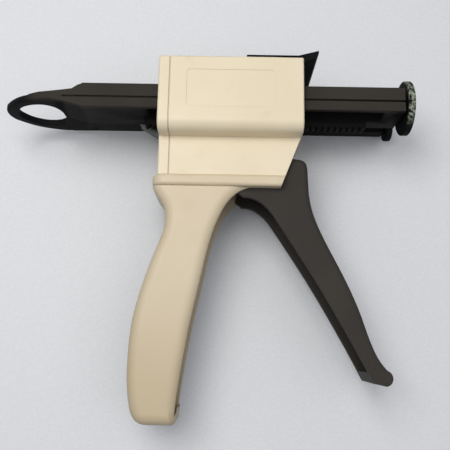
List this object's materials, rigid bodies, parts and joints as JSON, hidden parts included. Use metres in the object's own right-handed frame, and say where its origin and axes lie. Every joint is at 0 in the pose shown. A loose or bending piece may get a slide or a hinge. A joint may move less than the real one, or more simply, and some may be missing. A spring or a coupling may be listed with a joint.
{
  "type": "dental dispensing gun",
  "caption": "Hand-held dispensing gun for two-barrel cartridges: squeeze trigger, toothed plunger with finger loop and two unequal discs, lift-up cartridge latch.",
  "frame": {"origin": "under the middle of the gun's outline, on the surface that it lies on with its left side down", "axes": "+X forward to the discs, +Y up along the grip to the latch, +Z out of the gun's right side"},
  "size_m": [0.1976, 0.1712, 0.052],
  "materials": {
    "ivory_plastic": "moulded, satin",
    "black_plastic": "moulded, satin",
    "steel": "plain",
    "grey_plastic": "moulded, satin"
  },
  "bodies": {
    "housing": {"housing_shell": "ivory_plastic", "rear_cover": "ivory_plastic", "cover_screws": "steel", "grip_shell": "ivory_plastic", "grip_screws": "steel", "trigger_pivot_pin": "steel", "trigger_return_spring": "steel", "release_pin": "steel", "release_spring": "steel", "latch_pin": "steel"},
    "trigger": {"trigger": "black_plastic", "pawl_pin": "steel", "pawl_spring": "steel"},
    "drive_pawl": {"drive_pawl": "steel"},
    "release": {"release_lever": "grey_plastic", "holding_pawl": "steel"},
    "latch": {"cartridge_latch": "black_plastic"},
    "plunger": {"plunger_rack": "black_plastic", "large_disc": "black_plastic", "small_disc": "black_plastic"}
  },
  "joints": [
    {"name": "plunger_slide", "type": "slide", "parent": "housing", "child": "plunger", "axis": [1, 0, 0], "range_m": [-0.047, 0.034]},
    {"name": "trigger_squeeze", "type": "hinge", "parent": "housing", "child": "trigger", "pos_m": [0.0303, 0.03245, 0.026], "axis": [0, 0, 1], "range_deg": [-30, 0], "stiffness_Nm_per_rad": 0.2, "springref_deg": 17.19},
    {"name": "pawl_turn", "type": "hinge", "parent": "trigger", "child": "drive_pawl", "pos_m": [0.02745, 0.04308, 0.026], "axis": [0, 0, 1], "range_deg": [0, 30]},
    {"name": "release_press", "type": "hinge", "parent": "housing", "child": "release", "pos_m": [-0.0092, 0.04495, 0.026], "axis": [0, 0, 1], "range_deg": [-4, 0], "stiffness_Nm_per_rad": 0.1, "springref_deg": 5.73},
    {"name": "latch_lift", "type": "hinge", "parent": "housing", "child": "latch", "pos_m": [0.013, 0.07955, 0.026], "axis": [0, 0, 1], "range_deg": [0, 70]}
  ],
  "couplings": [
    {"joint": "pawl_turn", "follows": "trigger_squeeze", "ratio": -1}
  ]
}
